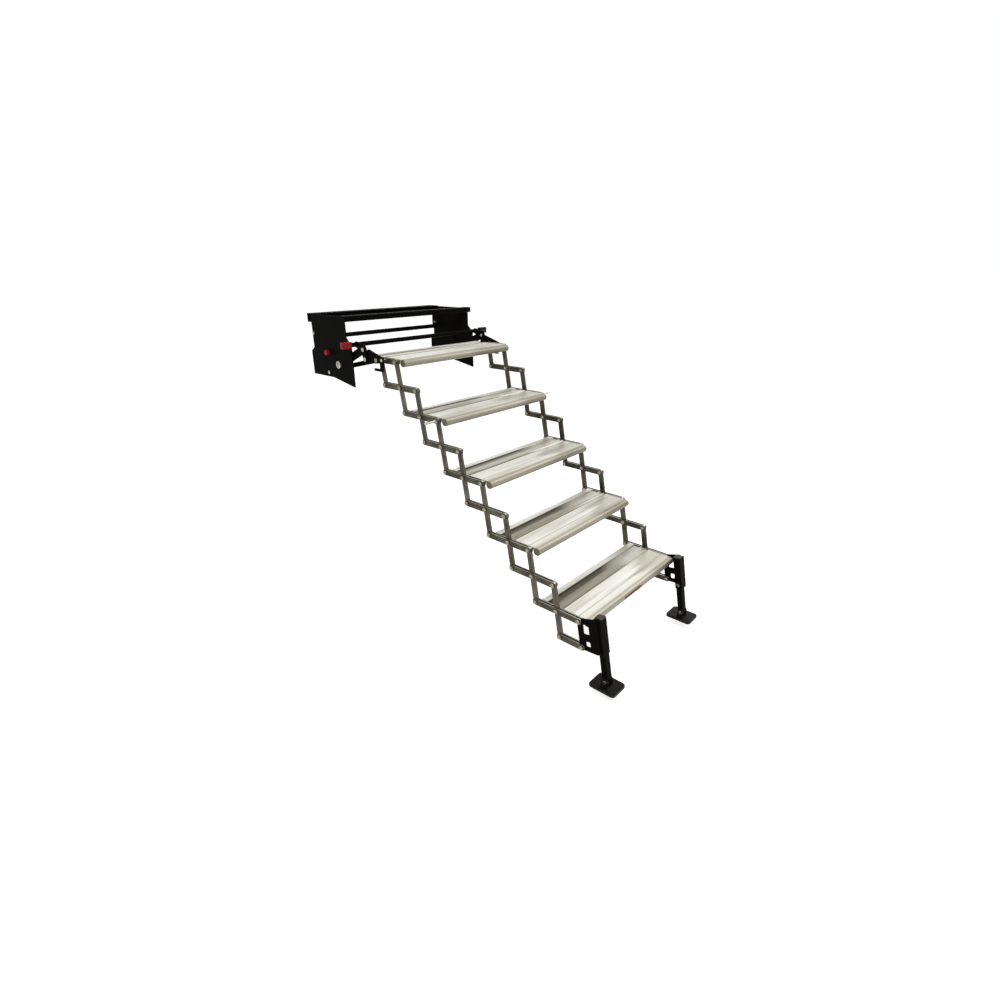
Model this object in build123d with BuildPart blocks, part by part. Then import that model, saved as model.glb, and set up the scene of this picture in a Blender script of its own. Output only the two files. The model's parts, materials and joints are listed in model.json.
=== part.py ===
from build123d import *
import os
from math import atan2, cos, degrees, hypot, radians, sin

os.makedirs("parts", exist_ok=True)

# Folding entry step: a steel mounting frame under the door, two pairs of arms, five treads on a
# lazy-tongs lattice and two adjustable legs. Millimetres, +Z up, +Y towards the vehicle, +X to the
# right for a person facing the door. The origin is the centre of the four mounting holes, on the
# frame's top face. Every side view below is drawn as (y, z).

# Lattice: level links carry the treads and leaning uprights join them
tread_count = 5
half_link = 93.0
half_upright = 98.6
lean = 11.1
first_y = -293.0
first_z = -158.0

# Links and uprights
link_height = 22.0
link_corner = 8.0
link_bar_thick = 4.5
link_outer = 318.0
upright_width = 23.0
upright_thick = 5.7
upright_gap = 0.65
link_to_tread = 2.0

# Pivot pins
pin_radius = 5.0
pin_head_radius = 8.0
pin_head_thick = 4.0
inner_head_radius = 7.0
inner_head_thick = 3.0
turning_gap = 0.5
screw_depth = 34.0
running_gap = 0.06
snug_gap = 0.02

# Tread section, measured from its centre pivot
rear_upright_gap = 8.0
tread_top = 10.0
tread_bottom = -14.0
tread_skin = 3.0
rear_lip_width = 24.0
rear_lip_rise = 2.0
recess_width = 26.0
recess_depth = 2.5
drain_front = -20.0
drain_width = 12.0
drain_depth = 3.0
ramp = 3.0
nosing_radius = 14.5
nosing_wall = 2.5
nosing_ahead = 26.0
port_wall = 3.0
rear_rib_inset = 38.0

# Mounting frame
plate_thick = 5.0
plate_rear = 128.0
plate_low_rear = 151.5
rear_step_top = -140.0
rear_step_bottom = -156.0
plate_front = -119.0
plate_low_front = -150.0
front_step_top = -84.0
front_step_bottom = -112.0
plate_rear_bottom = -255.5
plate_kink_y = -1.5
plate_front_bottom = -281.0
step_blend = 10.0
rail_thick = 3.0
front_rail_face = -130.0
front_rail_height = 22.0
front_rail_depth = 36.0
front_rail_overhang = 7.0
rear_rail_depth = 30.0
rear_tube_depth = 27.0
rear_tube_height = 35.5
rail_tab_thick = 2.5
rail_tab_drop = 110.0
rail_tab_width = 42.0
tab_bolt_inset = 11.0
tab_bolt_z = -80.0
stop_bolt_y = 27.7
stop_bolt_z = -237.5
bolt_radius = 4.0
bolt_head_radius = 7.0
bolt_head_thick = 4.0
mount_hole_radius = 5.25
mount_half_x = 300.0
mount_half_y = 112.0
rod_radius = 9.5
rod_y = 108.0
rod_z = -99.0
hanger_inset = 19.0
hanger_width = 9.0
hanger_thick = 4.0
sight_hole_radius = 9.0
plunger_y = 16.0
plunger_z = -152.0
plunger_stem_radius = 4.0
plunger_tip_gap = 0.5
bush_radius = 12.0
bush_flange = 2.5
strap_width = 13.0
strap_thick = 2.0
strap_to_bolt = 3.0
knob_radius = 11.0
knob_length = 14.0
knob_gap = 1.5

# Lifting arms: upper and lower arms make an exact parallelogram
upper_pivot_y = -54.0
upper_pivot_z = -197.5
arm_run = 174.0
arm_rise = 37.5
arm_thick = 5.0
arm_gap = 2.0
link_to_arm = 5.0
plate_to_arm = 3.0
shoulder_y = -219.0
shoulder_z = -122.5
shoulder_radius = 20.0
upper_arm_width = 32.0
upper_arm_end_width = 24.0
lower_arm_width = 19.0
upper_bolt_radius = 8.0
upper_bolt_head_radius = 15.0
upper_bolt_head_thick = 7.0
upper_nut_radius = 12.0
upper_nut_thick = 7.0
socket_radius = 8.0
socket_depth = 5.0
lower_stud_radius = 6.0
stud_shoulder = 3.0
stud_head_thick = 2.5
arm_pin_radius = 6.0
arm_pin_head_radius = 8.0
arm_pin_head_thick = 2.5
tail_width = 24.0
lock_hole_gap = 0.4
lift_range = 16.0
bar_y = -176.0
bar_z = -106.0
bar_radius = 9.0
grip_length = 45.0
grip_height = 26.0
grip_depth = 18.0
grip_stand_off = 16.0
grip_end_wall = 4.0
grip_blend = 2.5

# Carriers: the black plates that hold the first tread on the arms
carrier_boss_radius = 13.0
carrier_top_ahead = 18.0
carrier_top_rise = 27.0
carrier_screw_ahead = 36.0
carrier_screw_z = 3.5
carrier_screw_radius = 3.0
carrier_spacer_radius = 5.5
carrier_screw_boss = 10.0
hook_ahead = 30.0
hook_width = 20.0
hook_bottom = -42.0
hook_reach = 17.0
hook_toe = 10.0

# Legs: "down" runs along the lean from the last front pivot, and "ahead" square to it
leg_bar = 24.0
leg_gap = 0.3
leg_wall = 2.0
leg_bar_wall = 2.5
leg_packing = 8.0
nosing_to_leg = 15.0
tube_top = -15.0
tube_bottom = 117.0
leg_bar_top = 32.0
foot_pivot_down = 222.0
bracket_end_radius = 9.0
bracket_corner_radius = 10.0
bracket_corner_inset = 8.5
bracket_corner_over = 6.0
window_to_tube = 18.0
upper_window_rear = 12.0
upper_window_top = 10.0
upper_window_bottom = 47.0
lower_window_rear = 17.0
lower_window_rise = 5.0
lower_window_height = 21.0
window_corner = 4.0
cap_thick = 4.0
cap_spigot = 8.0
lock_radius = 4.0
lock_head_radius = 6.5
lock_head_thick = 5.0
lock_down = 100.0
foot_length = 104.0
foot_width = 84.0
foot_thick = 10.0
foot_corner = 14.0
foot_pin_height = 15.0
foot_ear_thick = 4.0
foot_ear_gap = 0.5
foot_edge_blend = 3.0
foot_ear_width = 26.0
foot_rib_count = 3
foot_rib_start = 22.0
foot_rib_pitch = 9.0
foot_rib_width = 3.0
foot_rib_height = 1.5
foot_bolt_radius = 4.0

# Places that follow from the sizes above
level_count = 2 * tread_count - 1
lean_y = -half_upright * sin(radians(lean))
lean_z = -half_upright * cos(radians(lean))
upright_outer = link_outer - link_bar_thick - upright_gap
upright_inner = upright_outer - upright_thick
link_inner = upright_inner - upright_gap - link_bar_thick
tread_end = link_inner - link_to_tread
tread_rear = half_link - upright_width / 2 - rear_upright_gap
plate_inner = link_outer + link_to_arm + 3 * arm_thick + 2 * arm_gap + plate_to_arm
plate_outer = plate_inner + plate_thick
upper_arm_outer = plate_inner - plate_to_arm
upper_arm_inner = upper_arm_outer - arm_thick
carrier_outer = upper_arm_inner - arm_gap
carrier_inner = carrier_outer - arm_thick
lower_arm_outer = carrier_inner - arm_gap
lower_arm_inner = lower_arm_outer - arm_thick


def crossing(level):
    """Centre pivot of the links at a level, as (y, z)."""
    return first_y + level * (lean_y - half_link), first_z + level * lean_z


def along(point, dy, dz):
    """The point that lies dy and dz away in the side view."""
    return point[0] + dy, point[1] + dz


def save(builder, name):
    """Label a finished piece and write it."""
    builder.part.label = name
    export_step(builder.part, f"parts/{name}.step")


def round_bars(x_low, x_high, radius, places, mode=Mode.ADD):
    """Round bars along X between two values of x, one at each place in the side view."""
    with Locations(*[((x_low + x_high) / 2, y, z) for y, z in places]):
        Cylinder(radius, x_high - x_low, rotation=(0, 90, 0), mode=mode)


def bar_outline(start, end, width):
    """A round-ended bar between two points of the side view, in the sketch being drawn."""
    dy = end[0] - start[0]
    dz = end[1] - start[1]
    with Locations(((start[0] + end[0]) / 2, (start[1] + end[1]) / 2)):
        SlotCenterToCenter(hypot(dy, dz), width, rotation=degrees(atan2(dz, dy)))


def holes(radius, places):
    """Round holes in the sketch being drawn."""
    with Locations(*places):
        Circle(radius, mode=Mode.SUBTRACT)


# Treads: one extrusion each, with a round nosing, a drain groove and three screw ports
def tread_top_line():
    """Top line of the tread from its rear edge to the nosing, as (y, z) points."""
    lip_front = tread_rear - rear_lip_width
    recess_front = lip_front - ramp - recess_width
    drain_rear = drain_front + drain_width
    return [
        (tread_rear, tread_top + rear_lip_rise),
        (lip_front, tread_top + rear_lip_rise),
        (lip_front - ramp, tread_top - recess_depth),
        (recess_front, tread_top - recess_depth),
        (recess_front - ramp, tread_top),
        (drain_rear, tread_top),
        (drain_rear - ramp, tread_top - drain_depth),
        (drain_front + ramp, tread_top - drain_depth),
        (drain_front, tread_top),
        (nosing_centre_y, tread_top),
    ]


pin_ports = [(0, 0), (-half_link, 0)]
screw_port = (-carrier_screw_ahead, carrier_screw_z)
nosing_centre_y = -half_link - nosing_ahead
rib_places = (tread_rear - rear_rib_inset, -carrier_screw_ahead)
nosing_centre = (nosing_centre_y, tread_top - nosing_radius)

with BuildSketch() as tread_section:
    with BuildLine():
        top_line = tread_top_line()
        Polyline(*top_line, *[(y, z - tread_skin) for y, z in reversed(top_line)], close=True)
    make_face()
    rear_wall_height = tread_top + rear_lip_rise - tread_bottom
    with Locations((tread_rear - tread_skin / 2, tread_bottom + rear_wall_height / 2)):
        Rectangle(tread_skin, rear_wall_height)
    with Locations((tread_rear - rear_lip_width / 4, tread_bottom + tread_skin / 2)):
        Rectangle(rear_lip_width / 2, tread_skin)
    rib_height = tread_top - tread_skin - tread_bottom
    with Locations(*[(rib_y, tread_bottom + rib_height / 2) for rib_y in rib_places]):
        Rectangle(tread_skin, rib_height)
    with Locations(nosing_centre):
        Circle(nosing_radius)
        Circle(nosing_radius - nosing_wall, mode=Mode.SUBTRACT)
    with Locations(*pin_ports):
        Circle(pin_radius + port_wall)
    with Locations(screw_port):
        Circle(carrier_screw_radius + port_wall)
    holes(pin_radius + snug_gap, pin_ports)
    holes(carrier_screw_radius + snug_gap, [screw_port])

for number in range(1, tread_count + 1):
    with BuildPart() as tread:
        with BuildSketch(Plane.YZ.offset(-tread_end)):
            with Locations(crossing(2 * (number - 1))):
                add(tread_section.sketch)
        extrude(amount=2 * tread_end)
    save(tread, f"tread_{number}")


# Links: two flat bars on each side, which stay level. The first and the last are half links.
first_pivot = crossing(0)
carrier_screw = along(first_pivot, *screw_port)


def link_pair(rear_pin, front_pin, pins, screws=()):
    """Links from a rear to a front pivot: two flat bars on each side, with a slot for the uprights."""
    length = rear_pin[0] - front_pin[0]
    with BuildPart() as links:
        for bar_face in (link_inner, link_outer - link_bar_thick):
            with BuildSketch(Plane.YZ.offset(bar_face)):
                with Locations(along(front_pin, length / 2, 0)):
                    RectangleRounded(length + link_height, link_height, link_corner)
                holes(pin_radius + snug_gap, pins)
                if screws:
                    holes(carrier_screw_radius + snug_gap, screws)
            extrude(amount=link_bar_thick)
        mirror(about=Plane.YZ)
    return links


def link_pins(level):
    """Rear, centre and front pivots of the links at a level; the first links have no rear half."""
    centre = crossing(level)
    rear = [] if level == 0 else [along(centre, half_link, 0)]
    return rear + [centre, along(centre, -half_link, 0)]


last_level = level_count - 1
for level in range(level_count):
    places = link_pins(level)
    screws = [carrier_screw] if level == 0 else ()
    save(link_pair(places[0], places[-1], places, screws), f"links_{level}")

foot_link_rear = along(crossing(last_level), lean_y, lean_z)
foot_link_front = along(foot_link_rear, -half_link, 0)
save(link_pair(foot_link_rear, foot_link_front, [foot_link_rear, foot_link_front]),
     f"links_{level_count}")


# Uprights: flat bars that run in the links' slots. The first is a half upright.
for level in range(level_count):
    centre = crossing(level)
    low_end = along(centre, lean_y, lean_z)
    top_end = centre if level == 0 else along(centre, -lean_y, -lean_z)
    with BuildPart() as uprights:
        with BuildSketch(Plane.YZ.offset(upright_inner)):
            bar_outline(top_end, low_end, upright_width)
            holes(pin_radius + running_gap, sorted({top_end, centre, low_end}))
        extrude(amount=upright_thick)
        mirror(about=Plane.YZ)
    save(uprights, f"uprights_{level}")


# Pins: those beside a tread screw into its ports, the others have a head at both ends
def pins_with_head(places, inner_end):
    """Pins from inner_end out through the links, each with a head on the outside."""
    round_bars(inner_end, link_outer, pin_radius, places)
    round_bars(link_outer, link_outer + pin_head_thick, pin_head_radius, places)


def inner_heads(places):
    """Heads on the inner ends of pins, against the links."""
    round_bars(link_inner - inner_head_thick, link_inner, inner_head_radius, places)


screw_end = tread_end - screw_depth
for level in range(level_count):
    places = link_pins(level)
    with BuildPart() as pins:
        if level == 0:
            pins_with_head(places[1:], screw_end)
            round_bars(screw_end, carrier_outer, pin_radius, places[:1])
            round_bars(link_outer, lower_arm_inner - turning_gap, pin_head_radius, places[:1])
            round_bars(lower_arm_outer + turning_gap, carrier_inner, pin_head_radius, places[:1])
            round_bars(carrier_outer, carrier_outer + pin_head_thick, pin_head_radius, places[:1])
        elif level % 2 == 0:
            pins_with_head(places[1:], screw_end)
            pins_with_head(places[:1], link_inner)
            inner_heads(places[:1])
        else:
            pins_with_head(places, link_inner)
            inner_heads(places)
        mirror(about=Plane.YZ)
    save(pins, f"pivot_pins_{level}")

with BuildPart() as foot_link_pins:
    pins_with_head([foot_link_rear, foot_link_front], link_inner)
    inner_heads([foot_link_rear, foot_link_front])
    mirror(about=Plane.YZ)
save(foot_link_pins, f"pivot_pins_{level_count}")


# Side plates: wider below, where the arms and the lower stud are
plate_outline = [
    (plate_rear, -rail_thick),
    (plate_rear, rear_step_top),
    (plate_low_rear, rear_step_bottom),
    (plate_low_rear, plate_rear_bottom),
    (plate_kink_y, plate_rear_bottom),
    (plate_low_front, plate_front_bottom),
    (plate_low_front, front_step_bottom),
    (plate_front, front_step_top),
    (plate_front, -rail_thick),
]
upper_pivot = (upper_pivot_y, upper_pivot_z)
lower_pivot = along(first_pivot, arm_run, -arm_rise)
plunger_place = (plunger_y, plunger_z)
tab_bolt = (plate_rear - tab_bolt_inset, tab_bolt_z)
stop_bolt = (stop_bolt_y, stop_bolt_z)
step_radius = min(step_blend, (plate_front - plate_low_front) / 3)


def strap_end():
    """Lower end of the left plate's strap, just short of the arm pivot bolt's head."""
    dy = upper_pivot_y - plunger_y
    dz = upper_pivot_z - plunger_z
    reach = 1 - (upper_bolt_head_radius + strap_to_bolt + strap_width / 2) / hypot(dy, dz)
    return along(plunger_place, dy * reach, dz * reach)


def side_plate(side):
    """A side plate; side is 1 on the right, and -1 on the left, which holds the plunger's bush."""
    with BuildPart() as plate:
        with BuildSketch(Plane.YZ.offset(plate_inner)) as face:
            with BuildLine():
                Polyline(*plate_outline, close=True)
            make_face()
            fillet([v for v in face.vertices() if abs(v.Y - front_step_top) < 0.001], step_radius)
            fillet([v for v in face.vertices() if abs(v.Y - front_step_bottom) < 0.001], step_radius)
            holes(upper_bolt_radius + snug_gap, [upper_pivot])
            holes(sight_hole_radius, [plunger_place])
            holes(bolt_radius + snug_gap, [tab_bolt, stop_bolt])
        extrude(amount=plate_thick)
        stud_end = lower_arm_inner - turning_gap
        round_bars(lower_arm_outer + turning_gap, carrier_outer, lower_stud_radius + stud_shoulder,
                   [lower_pivot])
        round_bars(stud_end, plate_inner, lower_stud_radius, [lower_pivot])
        round_bars(stud_end - stud_head_thick, stud_end, lower_stud_radius + stud_shoulder, [lower_pivot])
        if side < 0:
            with BuildSketch(Plane.YZ.offset(plate_outer)):
                bar_outline(plunger_place, strap_end(), strap_width)
            extrude(amount=strap_thick)
            round_bars(plate_inner, plate_outer + bush_flange, bush_radius, [plunger_place])
            round_bars(plate_inner, plate_outer + bush_flange, plunger_stem_radius + running_gap,
                       [plunger_place], Mode.SUBTRACT)
            mirror(about=Plane.YZ, mode=Mode.REPLACE)
    return plate


save(side_plate(1), "side_plate_right")
save(side_plate(-1), "side_plate_left")


# Rails: folded sections across the top. The rear one has a tab at each end for the plate's bolt.
def mount_holes(hole_y):
    """The two mounting holes in the top face of the rail being made."""
    with Locations((-mount_half_x, hole_y, -rail_thick / 2), (mount_half_x, hole_y, -rail_thick / 2)):
        Cylinder(mount_hole_radius, rail_thick, mode=Mode.SUBTRACT)


with BuildPart() as front_rail:
    rail_length = 2 * (plate_outer + front_rail_overhang)
    with Locations((0, front_rail_face + front_rail_depth / 2, -rail_thick / 2)):
        Box(rail_length, front_rail_depth, rail_thick)
    with Locations((0, front_rail_face + rail_thick / 2, -front_rail_height / 2)):
        Box(rail_length, rail_thick, front_rail_height)
    mount_holes(-mount_half_y)
save(front_rail, "front_rail")

with BuildPart() as rear_rail:
    with Locations((0, plate_rear - rear_rail_depth / 2, -rail_thick / 2)):
        Box(2 * plate_outer, rear_rail_depth, rail_thick)
    with Locations((0, plate_rear + rear_tube_depth / 2, -rear_tube_height / 2)):
        Box(2 * plate_outer, rear_tube_depth, rear_tube_height)
        Box(2 * plate_outer, rear_tube_depth - 2 * rail_thick, rear_tube_height - 2 * rail_thick,
            mode=Mode.SUBTRACT)
    tab_middle = plate_rear - rail_tab_width / 2
    with Locations(*[(side * (plate_inner - rail_tab_thick / 2), tab_middle, -rail_tab_drop / 2)
                     for side in (-1, 1)]):
        Box(rail_tab_thick, rail_tab_width, rail_tab_drop)
    round_bars(-plate_inner, plate_inner, bolt_radius + snug_gap, [tab_bolt], Mode.SUBTRACT)
    mount_holes(mount_half_y)
save(rear_rail, "rear_rail")

with BuildPart() as rear_rod:
    rod_place = [(rod_y, rod_z)]
    hanger_x = plate_inner - hanger_inset
    hanger_height = -rod_z - rail_thick
    round_bars(rail_tab_thick - plate_inner, plate_inner - rail_tab_thick, rod_radius, rod_place)
    with Locations(*[(side * hanger_x, rod_y, rod_z + hanger_height / 2) for side in (-1, 1)]):
        Box(hanger_width, hanger_thick, hanger_height)
save(rear_rod, "rear_rod")

with BuildPart() as frame_bolts:
    round_bars(plate_inner - rail_tab_thick, plate_outer, bolt_radius, [tab_bolt])
    round_bars(plate_inner - bolt_head_thick, plate_outer, bolt_radius, [stop_bolt])
    round_bars(plate_inner - bolt_head_thick, plate_inner, bolt_head_radius, [stop_bolt])
    round_bars(plate_outer, plate_outer + bolt_head_thick, bolt_head_radius, [tab_bolt, stop_bolt])
    mirror(about=Plane.YZ)
save(frame_bolts, "frame_bolts")

with BuildPart() as arm_pivot_bolts:
    nut_face = upper_arm_inner - turning_gap
    head_face = plate_outer + upper_bolt_head_thick
    round_bars(nut_face, plate_outer, upper_bolt_radius, [upper_pivot])
    round_bars(nut_face - upper_nut_thick, nut_face, upper_nut_radius, [upper_pivot])
    round_bars(plate_outer, head_face, upper_bolt_head_radius, [upper_pivot])
    with BuildSketch(Plane.YZ.offset(head_face)):
        with Locations(upper_pivot):
            RegularPolygon(socket_radius, 6)
    extrude(amount=-socket_depth, mode=Mode.SUBTRACT)
    mirror(about=Plane.YZ)
save(arm_pivot_bolts, "arm_pivot_bolts")

# The plunger's tip waits against the upper arm's tail, and drops into its hole when the arm is lifted
with BuildPart() as plunger_knob:
    knob_inner = plate_outer + bush_flange + knob_gap
    round_bars(-knob_inner, -upper_arm_outer - plunger_tip_gap, plunger_stem_radius, [plunger_place])
    round_bars(-knob_inner - knob_length, -knob_inner, knob_radius, [plunger_place])
    fillet(plunger_knob.edges().filter_by(GeomType.CIRCLE).group_by(Axis.X)[0], knob_length / 5)
save(plunger_knob, "plunger_knob")


# Upper arms: bent up to the lift bar, with a tail that the plunger locks
def lock_hole_place():
    """Where the tail's hole lies at rest, so that the full lift brings it to the plunger."""
    dy = plunger_y - upper_pivot_y
    dz = plunger_z - upper_pivot_z
    turn = radians(lift_range)
    return along(upper_pivot, dy * cos(turn) - dz * sin(turn), dy * sin(turn) + dz * cos(turn))


lock_hole = lock_hole_place()
link_pin = along(upper_pivot, -arm_run, arm_rise)
shoulder = (shoulder_y, shoulder_z)
bar_place = (bar_y, bar_z)

with BuildPart() as upper_arms:
    with BuildSketch(Plane.YZ.offset(upper_arm_inner)):
        bar_outline(upper_pivot, shoulder, upper_arm_width)
        with Locations(shoulder):
            Circle(shoulder_radius)
        bar_outline(shoulder, bar_place, upper_arm_end_width)
        bar_outline(shoulder, link_pin, upper_arm_end_width)
        bar_outline(upper_pivot, plunger_place, tail_width)
        bar_outline(upper_pivot, lock_hole, tail_width)
        with Locations(upper_pivot):
            Circle(upper_bolt_head_radius + arm_gap)
        holes(upper_bolt_radius + running_gap, [upper_pivot])
        holes(bar_radius + snug_gap, [bar_place])
        holes(arm_pin_radius + snug_gap, [shoulder, link_pin])
        holes(plunger_stem_radius + lock_hole_gap, [lock_hole])
    extrude(amount=arm_thick)
    mirror(about=Plane.YZ)
save(upper_arms, "upper_arms")

with BuildPart() as arm_link_pins:
    round_bars(carrier_inner, upper_arm_outer, arm_pin_radius, [link_pin])
    round_bars(upper_arm_inner, upper_arm_outer, arm_pin_radius, [shoulder])
    round_bars(upper_arm_outer, upper_arm_outer + arm_pin_head_thick, arm_pin_head_radius,
               [shoulder, link_pin])
    mirror(about=Plane.YZ)
save(arm_link_pins, "arm_link_pins")

grip_inner = plate_outer + grip_stand_off
grip_outer = grip_inner + grip_length
bar_end = grip_outer - grip_end_wall
with BuildPart() as lift_bar:
    round_bars(-bar_end, bar_end, bar_radius, [bar_place])
save(lift_bar, "lift_bar")


def bar_grip(side):
    """A rectangular grip on one end of the lift bar."""
    with BuildPart() as grip:
        with Locations((side * (grip_inner + grip_outer) / 2, bar_y, bar_z)):
            Box(grip_length, grip_depth, grip_height)
        fillet(grip.edges(), grip_blend)
        bore = sorted([side * grip_inner, side * bar_end])
        round_bars(bore[0], bore[1], bar_radius + snug_gap, [bar_place], Mode.SUBTRACT)
    return grip


save(bar_grip(-1), "red_grip")
save(bar_grip(1), "black_grip")

# Lower arms: straight bars from a stud on the plate to the centre pin of the first links
with BuildPart() as lower_arms:
    with BuildSketch(Plane.YZ.offset(lower_arm_inner)):
        bar_outline(lower_pivot, first_pivot, lower_arm_width)
        holes(lower_stud_radius + running_gap, [lower_pivot])
        holes(pin_radius + running_gap, [first_pivot])
    extrude(amount=arm_thick)
    mirror(about=Plane.YZ)
save(lower_arms, "lower_arms")

# Carriers: plates outside the first tread's links, each with a hook below
carrier_top = along(link_pin, -carrier_top_ahead, carrier_top_rise)
with BuildPart() as carriers:
    with BuildSketch(Plane.YZ.offset(carrier_inner)):
        with Locations(link_pin, carrier_top, first_pivot):
            Circle(carrier_boss_radius)
        with Locations(carrier_screw):
            Circle(carrier_screw_boss)
        make_hull()
        hook_low = first_pivot[1] + hook_bottom
        with Locations(along(first_pivot, -hook_ahead, hook_bottom / 2)):
            Rectangle(hook_width, -hook_bottom)
        toe_rear = first_pivot[0] + hook_reach
        toe_front = first_pivot[0] - hook_ahead - hook_width / 2
        with Locations(((toe_rear + toe_front) / 2, hook_low + hook_toe / 2)):
            Rectangle(toe_rear - toe_front, hook_toe)
        holes(arm_pin_radius + running_gap, [link_pin])
        holes(pin_radius + snug_gap, [first_pivot])
        holes(carrier_screw_radius + snug_gap, [carrier_screw])
    extrude(amount=arm_thick)
    mirror(about=Plane.YZ)
save(carriers, "carriers")

with BuildPart() as carrier_screws:
    round_bars(screw_end, carrier_outer, carrier_screw_radius, [carrier_screw])
    round_bars(link_outer, carrier_inner, carrier_spacer_radius, [carrier_screw])
    round_bars(carrier_outer, carrier_outer + bolt_head_thick, 2 * carrier_screw_radius, [carrier_screw])
    mirror(about=Plane.YZ)
save(carrier_screws, "carrier_screws")


# Legs: a bracket with a welded square tube, and a square leg that slides in it to a tilting foot.
# They lean as the uprights do.
bracket_top = along(crossing(last_level), -half_link, 0)
leg_bore = leg_bar + 2 * leg_gap
leg_tube = leg_bore + 2 * leg_wall
leg_x = upright_inner - leg_packing - leg_tube / 2
nosing_out = nosing_ahead * cos(radians(lean)) + nosing_centre[1] * sin(radians(lean)) + nosing_radius
leg_ahead = nosing_out + nosing_to_leg + leg_tube / 2


def leg_point(ahead, down):
    """A point ahead of the last front pivot and down from it, along the lean, as (y, z)."""
    turn = radians(lean)
    return along(bracket_top, -ahead * cos(turn) - down * sin(turn), ahead * sin(turn) - down * cos(turn))


def leg_box(x, width, depth, top, bottom, mode=Mode.ADD):
    """A leaning box on the leg's axis, between two distances down from the last front pivot."""
    with Locations(Location((x, *leg_point(leg_ahead, (top + bottom) / 2)), (-lean, 0, 0))):
        Box(width, depth, bottom - top, mode=mode)


def bracket_window(rear, front, top, bottom):
    """A rounded window in the bracket being drawn, by its distances ahead and down."""
    with Locations(leg_point((rear + front) / 2, (top + bottom) / 2)):
        RectangleRounded(front - rear, bottom - top, window_corner, rotation=-lean, mode=Mode.SUBTRACT)


with BuildPart() as leg_brackets:
    with BuildSketch(Plane.YZ.offset(upright_inner)):
        corner_ahead = leg_ahead - bracket_corner_inset
        with Locations(bracket_top, foot_link_front):
            Circle(bracket_end_radius)
        with Locations(leg_point(corner_ahead, -bracket_corner_over),
                       leg_point(corner_ahead, half_upright + bracket_corner_over)):
            Circle(bracket_corner_radius)
        make_hull()
        window_front = leg_ahead - leg_tube / 2 - window_to_tube
        bracket_window(upper_window_rear, window_front, upper_window_top, upper_window_bottom)
        lower_window_bottom = half_upright - lower_window_rise
        bracket_window(lower_window_rear, window_front, lower_window_bottom - lower_window_height,
                       lower_window_bottom)
        holes(pin_radius + running_gap, [bracket_top, foot_link_front])
    extrude(amount=upright_thick)
    leg_box(upright_inner - leg_packing / 2, leg_packing, leg_tube, tube_top, tube_bottom)
    leg_box(leg_x, leg_tube, leg_tube, tube_top, tube_bottom)
    leg_box(leg_x, leg_bore, leg_bore, tube_top, tube_bottom, Mode.SUBTRACT)
    lock_place = leg_point(leg_ahead, lock_down)
    round_bars(leg_x - leg_tube / 2, leg_x, lock_radius + snug_gap, [lock_place], Mode.SUBTRACT)
    mirror(about=Plane.YZ)
save(leg_brackets, "leg_brackets")

with BuildPart() as leg_caps:
    leg_box(leg_x, leg_tube, leg_tube, tube_top - cap_thick, tube_top)
    fillet(leg_caps.edges().filter_by(lambda edge: abs(edge.length - cap_thick) < 0.001), cap_thick / 2)
    spigot = leg_bore - 2 * snug_gap
    leg_box(leg_x, spigot, spigot, tube_top, tube_top + cap_spigot)
    mirror(about=Plane.YZ)
save(leg_caps, "leg_caps")

with BuildPart() as leg_lock_screws:
    tube_face = leg_x - leg_tube / 2
    round_bars(tube_face, tube_face + leg_wall, lock_radius, [lock_place])
    round_bars(tube_face - lock_head_thick, tube_face, lock_head_radius, [lock_place])
    mirror(about=Plane.YZ)
save(leg_lock_screws, "leg_lock_screws")

foot_pivot = leg_point(leg_ahead, foot_pivot_down)
pad_top = foot_pivot[1] - foot_pin_height
sole = pad_top - foot_thick
ear_inner = leg_bar / 2 + foot_ear_gap


def one_side(side):
    """Leave the piece being made on the right, or move it to the left when side is -1."""
    if side < 0:
        mirror(about=Plane.YZ, mode=Mode.REPLACE)


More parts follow.
